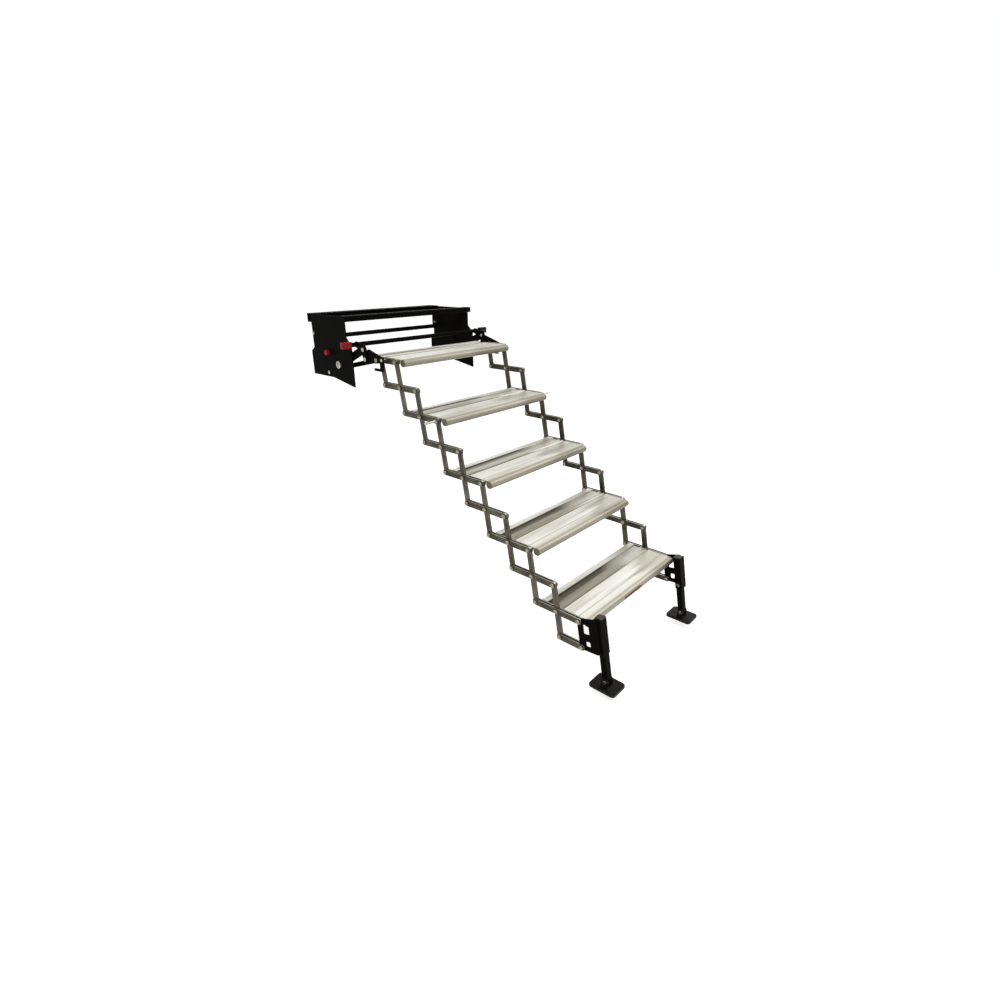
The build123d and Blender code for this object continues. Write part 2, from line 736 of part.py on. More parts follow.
for side, word in ((-1, "left"), (1, "right")):
    with BuildPart() as inner_leg:
        with BuildSketch(Plane.YZ.offset(leg_x - leg_bar / 2)):
            with Locations(leg_point(leg_ahead, (leg_bar_top + foot_pivot_down) / 2)):
                Rectangle(leg_bar, foot_pivot_down - leg_bar_top, rotation=-lean)
            with Locations(foot_pivot):
                Circle(leg_bar / 2)
            holes(foot_bolt_radius + running_gap, [foot_pivot])
        extrude(amount=leg_bar)
        bar_bore = leg_bar - 2 * leg_bar_wall
        leg_box(leg_x, bar_bore, bar_bore, leg_bar_top, foot_pivot_down - leg_bar / 2, Mode.SUBTRACT)
        one_side(side)
    save(inner_leg, f"inner_leg_{word}")

    with BuildPart() as foot:
        with BuildSketch(Plane.XY.offset(sole)):
            with Locations((leg_x, foot_pivot[0])):
                RectangleRounded(foot_width, foot_length, foot_corner)
        extrude(amount=foot_thick)
        fillet(foot.faces().sort_by(Axis.Z)[-1].edges(), foot_edge_blend)
        for ear in (-1, 1):
            ear_x = leg_x + ear * (ear_inner + foot_ear_thick / 2)
            with BuildSketch(Plane.YZ.offset(ear_x - foot_ear_thick / 2)):
                bar_outline((foot_pivot[0], pad_top), foot_pivot, foot_ear_width)
                with Locations((foot_pivot[0], sole)):
                    Rectangle(2 * foot_ear_width, 2 * (foot_thick - foot_edge_blend), mode=Mode.SUBTRACT)
                holes(foot_bolt_radius + snug_gap, [foot_pivot])
            extrude(amount=foot_ear_thick)
        for row in range(foot_rib_count):
            rib_y = foot_pivot[0] - foot_rib_start - row * foot_rib_pitch
            with Locations((leg_x, rib_y, pad_top)):
                Box(foot_width - 2 * foot_corner, foot_rib_width, 2 * foot_rib_height)
        one_side(side)
    save(foot, f"foot_{word}")

    with BuildPart() as foot_bolt:
        ear_outer = ear_inner + foot_ear_thick
        round_bars(leg_x - ear_outer, leg_x + ear_outer, foot_bolt_radius, [foot_pivot])
        round_bars(leg_x - ear_outer - bolt_head_thick, leg_x - ear_outer, bolt_head_radius, [foot_pivot])
        round_bars(leg_x + ear_outer, leg_x + ear_outer + bolt_head_thick, bolt_head_radius, [foot_pivot])
        one_side(side)
    save(foot_bolt, f"foot_bolt_{word}")
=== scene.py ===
# %% [markdown]
# # Folding entry step
# A steel mounting frame hangs under a vehicle's door. Two pairs of arms carry the first of five
# aluminium treads, a lattice of links and uprights carries the rest, and two legs stand on the ground.
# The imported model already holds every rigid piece, so this script gives them their finishes, adds the
# thin trim that isn't worth a solid, and lights the stair as a shop photograph does.

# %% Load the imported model
import json
from math import radians

import bpy
import numpy as np
from mathutils import Matrix, Vector


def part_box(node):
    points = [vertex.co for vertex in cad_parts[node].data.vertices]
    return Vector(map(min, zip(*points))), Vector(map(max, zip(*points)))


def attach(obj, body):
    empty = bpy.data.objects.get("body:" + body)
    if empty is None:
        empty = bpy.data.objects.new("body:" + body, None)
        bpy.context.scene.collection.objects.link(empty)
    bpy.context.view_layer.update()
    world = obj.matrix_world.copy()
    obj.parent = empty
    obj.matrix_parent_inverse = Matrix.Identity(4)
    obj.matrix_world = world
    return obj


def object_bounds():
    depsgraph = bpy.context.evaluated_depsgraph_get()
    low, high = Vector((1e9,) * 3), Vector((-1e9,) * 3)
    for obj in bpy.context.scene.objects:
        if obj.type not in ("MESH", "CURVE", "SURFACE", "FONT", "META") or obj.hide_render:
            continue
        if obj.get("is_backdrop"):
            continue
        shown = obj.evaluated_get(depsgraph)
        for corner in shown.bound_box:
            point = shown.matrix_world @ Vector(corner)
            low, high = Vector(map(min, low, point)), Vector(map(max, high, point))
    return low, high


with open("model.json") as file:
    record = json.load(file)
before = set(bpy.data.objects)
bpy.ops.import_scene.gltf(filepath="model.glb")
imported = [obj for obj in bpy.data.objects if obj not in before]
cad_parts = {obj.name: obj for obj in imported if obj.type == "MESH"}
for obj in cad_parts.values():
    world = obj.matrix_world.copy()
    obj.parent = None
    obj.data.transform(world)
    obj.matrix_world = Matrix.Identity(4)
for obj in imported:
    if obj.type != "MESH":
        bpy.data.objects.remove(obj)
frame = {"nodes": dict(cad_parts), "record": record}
cad_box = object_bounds()
nodes = frame["nodes"]
print("CAD box in metres:", [[round(v, 3) for v in corner] for corner in cad_box])

# %% [markdown]
# ## The camera
# The place and the turn were solved from the lattice's pivots in the photograph: with pins at known
# spacings, only one camera sees them where they are. It stands 2.8 m from the frame, ahead and to the
# left, a little above it, and looks down 22 degrees.

# %% Camera
CAMERA_PLACE = (-1.69928, -2.17949, 0.18036)
CAMERA_TURN = ((-47.834, "Z"), (90 - 22.275, "X"), (-0.2877, "Z"))
LENS = 20.513
SENSOR_WIDTH = 36.0
FAR = 100.0

camera = bpy.data.objects.new("camera", bpy.data.cameras.new("camera"))
turned = Matrix.Translation(CAMERA_PLACE)
for angle, axis in CAMERA_TURN:
    turned = turned @ Matrix.Rotation(radians(angle), 4, axis)
camera.matrix_world = turned
camera.data.lens = LENS
camera.data.sensor_width = SENSOR_WIDTH
camera.data.clip_end = FAR
bpy.context.scene.collection.objects.link(camera)
bpy.context.scene.camera = camera
print("camera", [round(v, 3) for v in camera.location], "lens", LENS, "mm")

# %% [markdown]
# ## Helpers for materials
# A hex colour is written for a screen, and the renderer counts in linear light, so one function turns
# the first into the second. Every node is added by one small function that sets its properties, fills or
# links its sockets and, on a colour ramp, sets its stops.

# %% Helpers for materials
MM = 0.001


def linear(hex_colour):
    """Screen colour to linear light: c/12.92 up to 0.04045, else ((c + 0.055) / 1.055) to the 2.4."""
    code = hex_colour.lstrip("#")
    screen = np.array([int(code[i:i + 2], 16) for i in (0, 2, 4)]) / 255
    light = np.where(screen <= 0.04045, screen / 12.92, ((screen + 0.055) / 1.055) ** 2.4)
    return (*light.tolist(), 1.0)


def add_node(tree, kind, inputs=None, stops=(), **settings):
    """Add a node; inputs maps a socket to a value or to the output that feeds it, and stops holds a
    colour ramp's (place, hex colour) pairs."""
    node = tree.nodes.new(kind)
    for name, value in settings.items():
        setattr(node, name, value)
    for socket, value in (inputs or {}).items():
        if isinstance(value, bpy.types.NodeSocket):
            tree.links.new(value, node.inputs[socket])
        else:
            node.inputs[socket].default_value = value
    if stops:
        ramp = node.color_ramp.elements
        ramp.remove(ramp[0])
        ramp[0].position, ramp[0].color = stops[0][0], linear(stops[0][1])
        for place, colour in stops[1:]:
            ramp.new(place).color = linear(colour)
    return node


def new_material(name):
    """An empty material: (material, its tree, its output node, the Object coordinates)."""
    material = bpy.data.materials.new(name)
    material.use_nodes = True
    tree = material.node_tree
    tree.nodes.clear()
    place = add_node(tree, "ShaderNodeTexCoord").outputs["Object"]
    return material, tree, tree.nodes.new("ShaderNodeOutputMaterial"), place


print("mid grey #808080 in linear light:", round(linear("#808080")[0], 3))

# %% [markdown]
# ## Worn and highlit edges
# Paint thins and metal polishes along an edge that hands and boots touch, and an edge catches light,
# so the paler colour laid on this mask is partly wear and partly a painted highlight. The Bevel node
# gives the normal of a slightly rounded edge. Where it differs from the flat face's own normal there is
# an edge, so the dot product of the two, stretched, is a mask of the edges. It costs no geometry and
# follows every edge of the imported meshes.

# %% Worn and highlit edges
SAME_FACE = 0.995
FULL_EDGE = 0.8


def edge_wear_and_highlight(tree, radius_mm):
    """(mask, rounded normal): the mask is 0 on a face and 1 on an edge of the given radius."""
    rounded = add_node(tree, "ShaderNodeBevel", {"Radius": radius_mm * MM}, samples=6).outputs[0]
    flat = add_node(tree, "ShaderNodeNewGeometry").outputs["Normal"]
    same = add_node(tree, "ShaderNodeVectorMath", {0: rounded, 1: flat}, operation="DOT_PRODUCT")
    mask = add_node(tree, "ShaderNodeMapRange", {
        "Value": same.outputs["Value"], "From Min": SAME_FACE, "From Max": FULL_EDGE})
    return mask.outputs[0], rounded


print("edges are masked by a Bevel node against the face normal")

# %% [markdown]
# ## Satin black powder coat
# The frame, the arms, the carriers and the legs are sheet and tube of mild steel under a baked powder
# coat. The powder melts into a skin with a fine orange peel, about 2.5 mm from bump to bump, near
# black, with a soft satin gloss. Dust of the workshop makes the gloss uneven, and the edges look a
# touch browner, partly where the coat is thin and partly as a painted highlight. It could be one dark
# colour, but then the flat plates would look cut from paper.

# %% Satin black powder coat
def powder_coat(name="satin black powder coat on steel"):
    """Near-black dielectric, orange peel as bump, uneven gloss, paler edges: part thin coat, part painted
    highlight.
    """
    material, tree, output, place = new_material(name)
    peel = add_node(tree, "ShaderNodeTexNoise", {"Vector": place, "Scale": 1 / (2.5 * MM), "Detail": 1.0})
    dust = add_node(tree, "ShaderNodeTexNoise", {"Vector": place, "Scale": 1 / (70 * MM), "Detail": 5.0})
    mask, rounded = edge_wear_and_highlight(tree, 1.2)
    colour = add_node(tree, "ShaderNodeValToRGB", {0: dust.outputs[0]},
                      stops=((0.3, "#040403"), (0.72, "#0B0908")))
    # Paler, browner edges: partly thin coat, partly a painted highlight.
    colour = add_node(tree, "ShaderNodeMix", {0: mask, 6: colour.outputs[0], 7: linear("#2E2924")},
                      data_type="RGBA")
    rough = add_node(tree, "ShaderNodeMapRange", {"Value": dust.outputs[0], "To Min": 0.4, "To Max": 0.56})
    bump = add_node(tree, "ShaderNodeBump", {"Height": peel.outputs[0], "Distance": 0.06 * MM,
                                             "Strength": 0.5, "Normal": rounded})
    shader = add_node(tree, "ShaderNodeBsdfPrincipled", {
        "Base Color": colour.outputs[2], "Roughness": rough.outputs[0], "IOR": 1.5,
        "Specular IOR Level": 0.015, "Normal": bump.outputs[0]})
    tree.links.new(shader.outputs[0], output.inputs[0])
    return material


coated_steel = powder_coat()
print("made", coated_steel.name)

# %% [markdown]
# ## Mill finish treads
# A tread is one extrusion of aluminium with its mill finish: no anodising, only the fine die lines of
# the press along its length. Such a surface is a soft mirror, and the photograph shows what lies
# around it as bands along the tread: a pale rear lip, a dull recess behind the first pins, a grey
# strip, the dark line of the drain groove, a near-white front, and a beige nosing that darkens below.
# It scatters more light than a polished mirror does, so the metallic share is set below 1.
# The right end is greyer than the left, a painted reflection as well. The studio here is plain, so
# these reflections and shades are painted into the metal: a ramp of painted reflections and shade
# across the depth, a second one for the greyer right end, streaks of noise stretched along the tread
# as painted reflection clouds, and painted shade on the underside of the nosing. The die lines are under 1
# mm apart, drawn at 2.4 mm, as coarse as they need to be to show.
# Sizes along x, y and z are in millimetres.

# %% Bands of the treads
TREAD_REAR = 73.5
TREAD_FRONT = -134.0
# Band colours are painted reflections and shade over the metal's own pale tone.
RIGHT_BANDS = ((73.5, "#E4E1D8"), (50.5, "#DFDCD2"), (48.0, "#8F8B7D"), (44.0, "#BFBBAE"),
               (22.0, "#D3D0C5"), (19.0, "#DFDCD2"), (-8.0, "#D3D0C5"), (-10.0, "#B3AFA2"),
               (-20.0, "#D9D5C9"), (-80.0, "#CBC7BA"), (-108.0, "#CFCBBE"), (-119.0, "#9A9486"),
               (-134.0, "#7B7567"))
# Riser, back and front of the recess, strip and drain, their colours painted reflections and shade, and the
# share that mirrors.
TREAD_TONES = {1: ("#6D6758", "#F8F6EF", "#FBF9F2", "#F4F1E9", "#6E6959", 0.4),
               2: ("#231F16", "#DEDBD0", "#F1EEE5", "#DAD6CA", "#5F5A4B", 0.45),
               3: ("#231F16", "#7F7B6C", "#B3AFA2", "#D3CFC3", "#6A6556", 0.5),
               4: ("#2F2B21", "#57533F", "#747062", "#B4B0A3", "#888475", 0.55),
               5: ("#2F2B21", "#57533F", "#6F6B5D", "#AAA699", "#888475", 0.55)}


def left_bands(riser, recess_back, recess_front, strip, drain):
    """The left and middle of a tread, as painted reflections and shade: its own riser, recess, strip and
    drain, and what all share.
    """
    return ((73.5, "#FBF9F4"), (49.8, "#F7F5EE"), (49.0, riser), (45.8, riser), (44.0, recess_back),
            (24.0, recess_front), (19.5, strip), (-6.0, strip), (-9.0, drain), (-19.0, drain),
            (-22.0, "#F8F5EC"), (-78.0, "#FFFDF6"), (-84.0, "#CBC7B9"), (-88.0, "#FBF8EF"),
            (-108.0, "#EFEBDE"), (-119.0, "#B5B0A1"), (-134.0, "#948E7F"))


def band_stops(bands):
    """Depths in mm ahead of the first pin, rearmost first, to ramp places: 0 in front, 1 behind."""
    span = TREAD_REAR - TREAD_FRONT
    return tuple(((depth - TREAD_FRONT) / span, colour) for depth, colour in reversed(bands))


print("bands on the right end:", len(RIGHT_BANDS), "and tones for", len(TREAD_TONES), "treads")

# %% Mill finish treads
STREAK_SIZE = (380.0, 24.0, 60.0)
DIE_LINE_SIZE = (900.0, 2.4, 2.4)
CLOUD_SIZE = 90.0
# The greyer right end is a painted reflection.
GREY_END = (170.0, 290.0)
GREY_WANDER = 260.0
# Painted shade below the nosing: over this height range the colour falls to the share.
UNDERSIDE = (-19.0, -4.0)
UNDERSIDE_SHARE = 0.5


def mill_finish_and_painted_reflections(number, pin_y, pin_z, bands, mirror):
    """Painted reflections as bands across the depth and streaks along it, a greyer right end as painted
    reflection, die lines along it, painted shade on the underside.
    """
    material, tree, output, place = new_material(f"mill finish aluminium tread {number}")
    local = add_node(tree, "ShaderNodeMapping", {"Vector": place, "Location": (0, -pin_y, -pin_z)})
    axes = add_node(tree, "ShaderNodeSeparateXYZ", {0: local.outputs[0]})
    depth = add_node(tree, "ShaderNodeMapRange", {
        "Value": axes.outputs["Y"], "From Min": TREAD_FRONT * MM, "From Max": TREAD_REAR * MM})
    # Painted reflections and shade: ramps of bands across the depth, one for the left and one for the
    # right.
    left = add_node(tree, "ShaderNodeValToRGB", {0: depth.outputs[0]}, stops=band_stops(bands))
    right = add_node(tree, "ShaderNodeValToRGB", {0: depth.outputs[0]}, stops=band_stops(RIGHT_BANDS))
    long_streak = add_node(tree, "ShaderNodeMapping", {
        "Vector": place, "Scale": tuple(1 / (size * MM) for size in STREAK_SIZE)})
    streak = add_node(tree, "ShaderNodeTexNoise", {"Vector": long_streak.outputs[0], "Scale": 1.0,
                                                   "Detail": 3.0, "Roughness": 0.45})
    cloud = add_node(tree, "ShaderNodeTexNoise", {
        "Vector": place, "Scale": 1 / (CLOUD_SIZE * MM), "Detail": 2.0})
    # Painted reflection: the right end greyer, its border wandering with the streaks.
    reach = add_node(tree, "ShaderNodeMath", {
        0: streak.outputs[0], 1: GREY_WANDER * MM, 2: axes.outputs["X"]}, operation="MULTIPLY_ADD")
    side = add_node(tree, "ShaderNodeMapRange", {
        "Value": reach.outputs[0], "From Min": GREY_END[0] * MM, "From Max": GREY_END[1] * MM},
        interpolation_type="SMOOTHSTEP")
    metal = add_node(tree, "ShaderNodeMix", {
        0: side.outputs[0], 6: left.outputs[0], 7: right.outputs[0]}, data_type="RGBA")
    # Painted reflection clouds: the streaks darken the metal towards grey.
    shade = add_node(tree, "ShaderNodeMapRange", {
        "Value": streak.outputs[0], "From Min": 0.5, "From Max": 0.64, "To Max": mirror})
    metal = add_node(tree, "ShaderNodeMix", {
        0: shade.outputs[0], 6: metal.outputs[2], 7: linear("#D0CCC0")},
        data_type="RGBA", blend_type="MULTIPLY")
    die = add_node(tree, "ShaderNodeMapping", {
        "Vector": place, "Scale": tuple(1 / (size * MM) for size in DIE_LINE_SIZE)})
    line = add_node(tree, "ShaderNodeTexNoise", {"Vector": die.outputs[0], "Scale": 1.0, "Detail": 1.0})
    line = add_node(tree, "ShaderNodeMapRange", {
        "Value": line.outputs[0], "From Min": 0.3, "From Max": 0.7, "To Min": 0.93, "To Max": 1.05})
    # Painted shade: the nosing darker towards its underside, multiplied with the die lines.
    under = add_node(tree, "ShaderNodeMapRange", {
        "Value": axes.outputs["Z"], "From Min": UNDERSIDE[0] * MM, "From Max": UNDERSIDE[1] * MM,
        "To Min": UNDERSIDE_SHARE})
    die_lines_and_painted_shade = add_node(tree, "ShaderNodeMath", {0: line.outputs[0], 1: under.outputs[0]},
                       operation="MULTIPLY")
    metal = add_node(tree, "ShaderNodeMix", {0: 1.0, 6: metal.outputs[2], 7: die_lines_and_painted_shade.outputs[0]},
                     data_type="RGBA", blend_type="MULTIPLY")
    rough = add_node(tree, "ShaderNodeMapRange", {"Value": cloud.outputs[0], "To Min": 0.36, "To Max": 0.5})
    rounded = add_node(tree, "ShaderNodeBevel", {"Radius": 0.5 * MM}, samples=4)
    shader = add_node(tree, "ShaderNodeBsdfPrincipled", {
        "Base Color": metal.outputs[2], "Metallic": mirror, "Roughness": rough.outputs[0],
        "Normal": rounded.outputs[0]})
    tree.links.new(shader.outputs[0], output.inputs[0])
    return material


TREADS = 5
NOSING_BELOW = 19.0
tread_pins = {}
for number in range(1, TREADS + 1):
    low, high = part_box(f"tread_{number}")
    tread_pins[number] = (high[1] - TREAD_REAR * MM, low[2] + NOSING_BELOW * MM)
tread_metal = {}
for number, pin in tread_pins.items():
    *tones, mirror = TREAD_TONES[number]
    tread_metal[number] = mill_finish_and_painted_reflections(number, *pin, left_bands(*tones), mirror)
print("first pins of the treads (y, z) in m:",
      {number: [round(v, 4) for v in pin] for number, pin in tread_pins.items()})

# %% [markdown]
# ## Rolled flat bar
# The links and the uprights are aluminium flat bar as it comes from the rolls, darker than the treads:
# a warm grey oxide with fine lines along the bar. The lines run level on the links and along the lean
# on the uprights, so the pattern is turned by a Mapping node. The narrow top faces are painted paler
# as a highlight of the light from above, and the inner faces are painted darker as shade. The piece's
# own normal picks both out, so they move with the link.

# %% Rolled flat bar
LEAN = 11.1
ROLLED_LINE_SIZE = (3.0, 60.0, 1.4)


def flat_bar(name, turn, tones):
    """Warm grey metal in three tones with rolling lines along the bar, turn degrees from level; a painted
    highlight on the tops and painted shade on the inner faces.
    """
    material, tree, output, place = new_material(name)
    turned_place = add_node(tree, "ShaderNodeMapping", {"Vector": place, "Rotation": (radians(turn), 0, 0)})
    along = add_node(tree, "ShaderNodeMapping", {
        "Vector": turned_place.outputs[0], "Scale": tuple(1 / (size * MM) for size in ROLLED_LINE_SIZE)})
    lines = add_node(tree, "ShaderNodeTexNoise", {"Vector": along.outputs[0], "Scale": 1.0, "Detail": 3.0})
    cloud = add_node(tree, "ShaderNodeTexNoise", {"Vector": place, "Scale": 1 / (55 * MM), "Detail": 3.0})
    mask, rounded = edge_wear_and_highlight(tree, 1.0)
    metal = add_node(tree, "ShaderNodeValToRGB", {0: cloud.outputs[0]},
                     stops=tuple(zip((0.3, 0.5, 0.72), tones)))
    stripe = add_node(tree, "ShaderNodeMapRange", {
        "Value": lines.outputs[0], "From Min": 0.35, "From Max": 0.7, "To Min": 0.82, "To Max": 1.12})
    metal = add_node(tree, "ShaderNodeMix", {0: 1.0, 6: metal.outputs[0], 7: stripe.outputs[0]},
                     data_type="RGBA", blend_type="MULTIPLY")
    own = add_node(tree, "ShaderNodeTexCoord").outputs["Normal"]
    up = add_node(tree, "ShaderNodeSeparateXYZ", {0: own})
    # Painted highlight: faces turned up, and the edges, are mixed paler.
    painted_top_highlight = add_node(tree, "ShaderNodeMapRange", {
        "Value": up.outputs["Z"], "From Min": 0.6, "From Max": 0.95})
    pale = add_node(tree, "ShaderNodeMath", {0: painted_top_highlight.outputs[0], 1: mask}, operation="MAXIMUM")
    metal = add_node(tree, "ShaderNodeMix", {
        0: pale.outputs[0], 6: metal.outputs[2], 7: linear("#B9B5AB")}, data_type="RGBA")
    side = add_node(tree, "ShaderNodeSeparateXYZ", {0: place})
    # Painted shade: faces turned towards the middle of the stair are darker.
    outward = add_node(tree, "ShaderNodeMath", {0: up.outputs["X"], 1: side.outputs["X"]},
                       operation="MULTIPLY")
    painted_inner_shade = add_node(tree, "ShaderNodeMapRange", {
        "Value": outward.outputs[0], "From Min": -0.25, "From Max": 0.0, "To Min": 0.66, "To Max": 1.0})
    metal = add_node(tree, "ShaderNodeMix", {0: 1.0, 6: metal.outputs[2], 7: painted_inner_shade.outputs[0]},
                     data_type="RGBA", blend_type="MULTIPLY")
    rough = add_node(tree, "ShaderNodeMapRange", {"Value": lines.outputs[0], "To Min": 0.34, "To Max": 0.5})
    bump = add_node(tree, "ShaderNodeBump", {"Height": lines.outputs[0], "Distance": 0.03 * MM,
                                             "Strength": 0.4, "Normal": rounded})
    shader = add_node(tree, "ShaderNodeBsdfPrincipled", {
        "Base Color": metal.outputs[2], "Metallic": 1.0, "Roughness": rough.outputs[0],
        "Normal": bump.outputs[0]})
    tree.links.new(shader.outputs[0], output.inputs[0])
    return material


link_bar = flat_bar("rolled aluminium bar, level", 0.0, ("#37332B", "#4A463C", "#5F5A4E"))
upright_bar = flat_bar("rolled aluminium bar, upright", 90.0 - LEAN, ("#3F3B34", "#524E44", "#686256"))
print("made", link_bar.name, "and", upright_bar.name)

# %% [markdown]
# ## Zinc plate
# The pins, bolts and screws are steel with a thin bright zinc plate. It is paler than the bars around
# it, which is why the rivet heads stand out in the photograph, and faintly cloudy, because zinc dulls
# in patches of a few millimetres. The rivets of the lattice get a greyer zinc, and the screws of the
# legs a darker one.

# %% Zinc plate
def zinc_plate(name="bright zinc plate on steel", dull="#8F897C", mid="#B3ADA0", bright="#C6C1B5"):
    """Pale metal, clouds of 5 mm in colour and gloss, paler edges: part polish, part painted highlight."""
    material, tree, output, place = new_material(name)
    cloud = add_node(tree, "ShaderNodeTexNoise", {"Vector": place, "Scale": 1 / (5 * MM), "Detail": 3.0})
    mask, rounded = edge_wear_and_highlight(tree, 0.7)
    metal = add_node(tree, "ShaderNodeValToRGB", {0: cloud.outputs[0]},
                     stops=((0.32, dull), (0.6, mid), (0.75, bright)))
    # Paler edges: part polish, part painted highlight.
    metal = add_node(tree, "ShaderNodeMix", {0: mask, 6: metal.outputs[0], 7: linear("#D8D4CA")},
                     data_type="RGBA")
    rough = add_node(tree, "ShaderNodeMapRange", {
        "Value": cloud.outputs[0], "To Min": 0.25, "To Max": 0.45})
    shader = add_node(tree, "ShaderNodeBsdfPrincipled", {
        "Base Color": metal.outputs[2], "Metallic": 1.0, "Roughness": rough.outputs[0],
        "Normal": rounded})
    tree.links.new(shader.outputs[0], output.inputs[0])
    return material


zinc = zinc_plate()
rivet_zinc = zinc_plate("greyer zinc plate on rivets", "#6B665A", "#928C80", "#B3ADA1")
dull_zinc = zinc_plate("darker zinc plate on steel", "#3B372F", "#5F5A50", "#878277")
bright_rod = zinc_plate("drawn aluminium rod", "#A59F8F", "#CCC6B7", "#DCD8CC")
print("made", ", ".join(metal.name for metal in (zinc, rivet_zinc, dull_zinc, bright_rod)))

# %% [markdown]
# ## Moulded plastics
# The grip sleeves are soft PVC dipped or pushed onto the bar, one red and one black. The tube caps and
# the plugs in the nosings are grey-brown polyethylene, and the feet are black polypropylene. All have
# the fine spark-eroded grain of a mould, 0.6 mm from dimple to dimple, and differ in colour and gloss,
# so one function makes them all.

# %% Moulded plastics
def moulded(name, dark, pale, roughness, ior=1.49):
    """A moulded plastic: two close colours in clouds of 30 mm, mould grain as bump."""
    material, tree, output, place = new_material(name)
    cloud = add_node(tree, "ShaderNodeTexNoise", {"Vector": place, "Scale": 1 / (30 * MM), "Detail": 4.0})
    grain = add_node(tree, "ShaderNodeTexNoise", {"Vector": place, "Scale": 1 / (0.6 * MM), "Detail": 1.0})
    mask, rounded = edge_wear_and_highlight(tree, 0.8)
    colour = add_node(tree, "ShaderNodeValToRGB", {0: cloud.outputs[0]}, stops=((0.35, dark), (0.65, pale)))
    # Paler edges: part wear, part painted highlight.
    edge = add_node(tree, "ShaderNodeMath", {0: mask, 1: 0.3}, operation="MULTIPLY")
    colour = add_node(tree, "ShaderNodeMix", {0: edge.outputs[0], 6: colour.outputs[0],
                                              7: linear("#8A857C")}, data_type="RGBA")
    bump = add_node(tree, "ShaderNodeBump", {"Height": grain.outputs[0], "Distance": 0.04 * MM,
                                             "Strength": 0.5, "Normal": rounded})
    rough = add_node(tree, "ShaderNodeMapRange", {
        "Value": cloud.outputs[0], "To Min": roughness - 0.06, "To Max": roughness + 0.08})
    shader = add_node(tree, "ShaderNodeBsdfPrincipled", {
        "Base Color": colour.outputs[2], "Roughness": rough.outputs[0], "IOR": ior,
        "Specular IOR Level": 0.14, "Normal": bump.outputs[0]})
    tree.links.new(shader.outputs[0], output.inputs[0])
    return material


plastics = {
    "red_plastic": moulded("soft red PVC", "#780F18", "#93191F", 0.34, 1.53),
    "black_plastic": moulded("black polypropylene", "#060504", "#0F0D0B", 0.42),
    "dark_plastic": moulded("grey-brown polyethylene", "#3B352D", "#544C41", 0.5, 1.52),
}
plug_plastic = moulded("grey polyethylene plug", "#5D584B", "#777163", 0.45, 1.52)
print("made", len(plastics) + 1, "plastics")

# %% [markdown]
# ## Every node gets its finish
# The record names a slot for each node. Most slots have one material. A tread has its own, because the
# bands start at its own first pin, and a bar takes the one whose lines run its way. The rivets and the
# screws of the legs take their greyer zinc.

# %% Paint the nodes
finishes = {"black_steel": coated_steel, "zinc": zinc, **plastics}


def finish_of(name, slot):
    """The material for a node: its own where its name asks for one, else that of its slot."""
    if slot == "tread_aluminium":
        return tread_metal[int(name.split("_")[-1])]
    if slot == "link_aluminium":
        return upright_bar if name.startswith("uprights") else link_bar
    if name.startswith("pivot_pins"):
        return rivet_zinc
    if name.startswith(("foot_bolt", "leg_lock_screws")):
        return dull_zinc
    return finishes[slot]


slots = {part["node"]: part["material_slot"] for part in frame["record"]["subparts"]}
for name, piece in nodes.items():
    for material_slot in piece.material_slots:
        material_slot.material = finish_of(name, slots[name])
print(len(nodes), "nodes painted")

# %% [markdown]
# ## Helpers for trim
# The trim is made of two kinds of surface: a profile turned about an axis along x, for plugs and rods,
# and a patch wrapped on a nosing, for the strip. Both are closed grids of points, so they share the
# function that lists a grid's faces and the one that makes a piece.

# %% Helpers for trim
SHARP = 40.0


def grid_faces(rows, columns):
    """Quads between neighbouring rows and columns; the columns close into a ring."""
    row, column = np.meshgrid(np.arange(rows - 1), np.arange(columns), indexing="ij")
    after = (column + 1) % columns
    quads = np.stack([row * columns + column, row * columns + after,
                      (row + 1) * columns + after, (row + 1) * columns + column], axis=-1)
    return quads.reshape(-1, 4)


def closed_tube(rings, start, end):
    """Points and faces of rings of points, closed by a fan to a centre point at each end."""
    rows, columns, _ = rings.shape
    points = np.concatenate([rings.reshape(-1, 3), [start, end]])
    ring = np.arange(columns)
    after = (ring + 1) % columns
    first, last = rows * columns, rows * columns + 1
    lid = np.stack([after, ring, np.full_like(ring, first)], axis=-1)
    base = (rows - 1) * columns
    cap = np.stack([base + ring, base + after, np.full_like(ring, last)], axis=-1)
    return points, [grid_faces(rows, columns), lid, cap]


def make_piece(name, shells, material, body):
    """One mesh piece from shells of (points, faces), outward faces, riding on a body."""
    points, faces, count = [], [], 0
    for shell_points, shell_faces in shells:
        points.append(shell_points)
        faces += [tuple(face) for block in shell_faces for face in (block + count).tolist()]
        count += len(shell_points)
    mesh = bpy.data.meshes.new(name)
    mesh.from_pydata(np.concatenate(points).tolist(), [], faces)
    mesh.polygons.foreach_set("use_smooth", np.ones(len(mesh.polygons), dtype=bool))
    mesh.materials.append(material)
    mesh.set_sharp_from_angle(angle=radians(SHARP))
    piece = bpy.data.objects.new(name, mesh)
    bpy.context.scene.collection.objects.link(piece)
    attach(piece, body)


def turned_about_x(profile, centre_y, centre_z, sides=40):
    """Profile of (x, radius) rows turned about the line y, z = centre: y = cy + r cos a and
    z = cz + r sin a. The rows run towards +x, so the faces point outwards."""
    profile = np.array(profile, dtype=float) * MM
    angle = np.linspace(0, 2 * np.pi, sides, endpoint=False)
    x = np.broadcast_to(profile[:, :1], (len(profile), sides))
    rings = np.stack([x, centre_y + profile[:, 1:] * np.cos(angle),
                      centre_z + profile[:, 1:] * np.sin(angle)], axis=-1)
    return closed_tube(rings, (profile[0, 0], centre_y, centre_z), (profile[-1, 0], centre_y, centre_z))


print("helpers for trim ready, edges over", SHARP, "degrees stay sharp")

